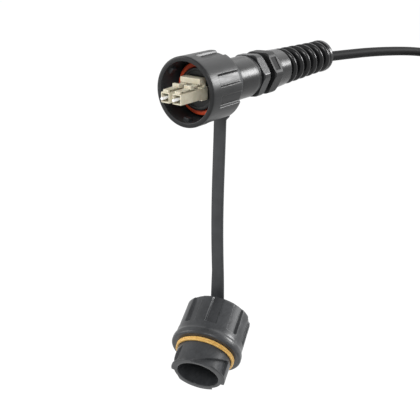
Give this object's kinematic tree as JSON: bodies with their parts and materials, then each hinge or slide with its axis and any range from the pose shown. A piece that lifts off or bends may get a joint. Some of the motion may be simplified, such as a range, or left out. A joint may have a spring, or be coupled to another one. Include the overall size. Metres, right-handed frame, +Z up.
{
  "type": "lc fibre patch cord",
  "caption": "Sealed fibre patch cord: bayonet plug with a duplex LC pair, cable gland with spiral bend relief, dust cap on a strap and a coiled cable.",
  "frame": {"origin": "centre of the coupling ring's front rim, on the plug's axis", "axes": "+Z up, +Y along the plug's axis from its front to the cable, +X to the right seen from the front"},
  "size_m": [0.0428, 0.3053, 0.1561],
  "materials": {
    "ring_black": "satin moulded black",
    "body_black": "satin moulded black",
    "seal_red": "matte red-orange elastomer",
    "connector_beige": "satin beige plastic",
    "ceramic": "polished white ceramic",
    "steel": "plain steel",
    "rubber_black": "matte black elastomer",
    "gland_black": "matte grey-black plastic",
    "nut_black": "semi-gloss black plastic",
    "strap_black": "matte dark strap",
    "cap_black": "satin moulded grey-black",
    "seal_amber": "matte amber elastomer",
    "cable_black": "smooth black jacket",
    "tie_black": "matte black tie",
    "boot_black": "matte black boot",
    "lead_yellow": "smooth yellow lead"
  },
  "bodies": {
    "plug": {"cable": "cable_black", "cable_coil": "cable_black", "cable_tail": "cable_black", "coil_tie": "tie_black", "connector_carrier": "body_black", "duplex_clip": "connector_beige", "face_seal": "seal_red", "far_boot": "boot_black", "far_ferrule_spring_left": "steel", "far_ferrule_spring_right": "steel", "far_lc_housing_left": "connector_beige", "far_lc_housing_right": "connector_beige", "far_rear_post_left": "steel", "far_rear_post_right": "steel", "far_shell": "connector_beige", "ferrule_spring_left": "steel", "ferrule_spring_right": "steel", "fibre_lead_left": "lead_yellow", "fibre_lead_right": "lead_yellow", "gland_body": "gland_black", "gland_bush": "rubber_black", "gland_nut": "nut_black", "gland_ring": "rubber_black", "lc_housing_left": "connector_beige", "lc_housing_right": "connector_beige", "plug_body": "body_black", "rear_post_left": "steel", "rear_post_right": "steel", "ring_retainer": "steel"},
    "ring": {"coupling_ring": "ring_black"},
    "tether": {"tether_strap": "strap_black"},
    "cap": {"dust_cap": "cap_black", "cap_seal": "seal_amber", "cap_rivet": "steel"},
    "ferrule_left": {"ferrule_left": "ceramic", "ferrule_flange_left": "steel"},
    "ferrule_right": {"ferrule_right": "ceramic", "ferrule_flange_right": "steel"},
    "far_ferrule_left": {"far_ferrule_left": "ceramic", "far_ferrule_flange_left": "steel"},
    "far_ferrule_right": {"far_ferrule_right": "ceramic", "far_ferrule_flange_right": "steel"}
  },
  "joints": [
    {"name": "ring_turn", "type": "hinge", "parent": "plug", "child": "ring", "pos_m": [0, 0, 0], "axis": [0, 1, 0], "continuous": true},
    {"name": "tether_swing", "type": "hinge", "parent": "plug", "child": "tether", "pos_m": [0, 0.02525, 0], "axis": [0, 1, 0], "continuous": true},
    {"name": "cap_swivel", "type": "hinge", "parent": "tether", "child": "cap", "pos_m": [0, 0.0248, -0.1119], "axis": [-0.2497, 0.8066, 0.5358], "continuous": true},
    {"name": "ferrule_slide_left", "type": "slide", "parent": "plug", "child": "ferrule_left", "axis": [0, 1, 0], "range_m": [0, 0.0008], "stiffness_N_per_m": 500, "springref_m": -0.008, "deforming": ["ferrule_spring_left"]},
    {"name": "ferrule_slide_right", "type": "slide", "parent": "plug", "child": "ferrule_right", "axis": [0, 1, 0], "range_m": [0, 0.0008], "stiffness_N_per_m": 500, "springref_m": -0.008, "deforming": ["ferrule_spring_right"]},
    {"name": "far_ferrule_slide_left", "type": "slide", "parent": "plug", "child": "far_ferrule_left", "axis": [0, 0, 1], "range_m": [0, 0.0008], "stiffness_N_per_m": 500, "springref_m": -0.008, "deforming": ["far_ferrule_spring_left"]},
    {"name": "far_ferrule_slide_right", "type": "slide", "parent": "plug", "child": "far_ferrule_right", "axis": [0, 0, 1], "range_m": [0, 0.0008], "stiffness_N_per_m": 500, "springref_m": -0.008, "deforming": ["far_ferrule_spring_right"]}
  ]
}
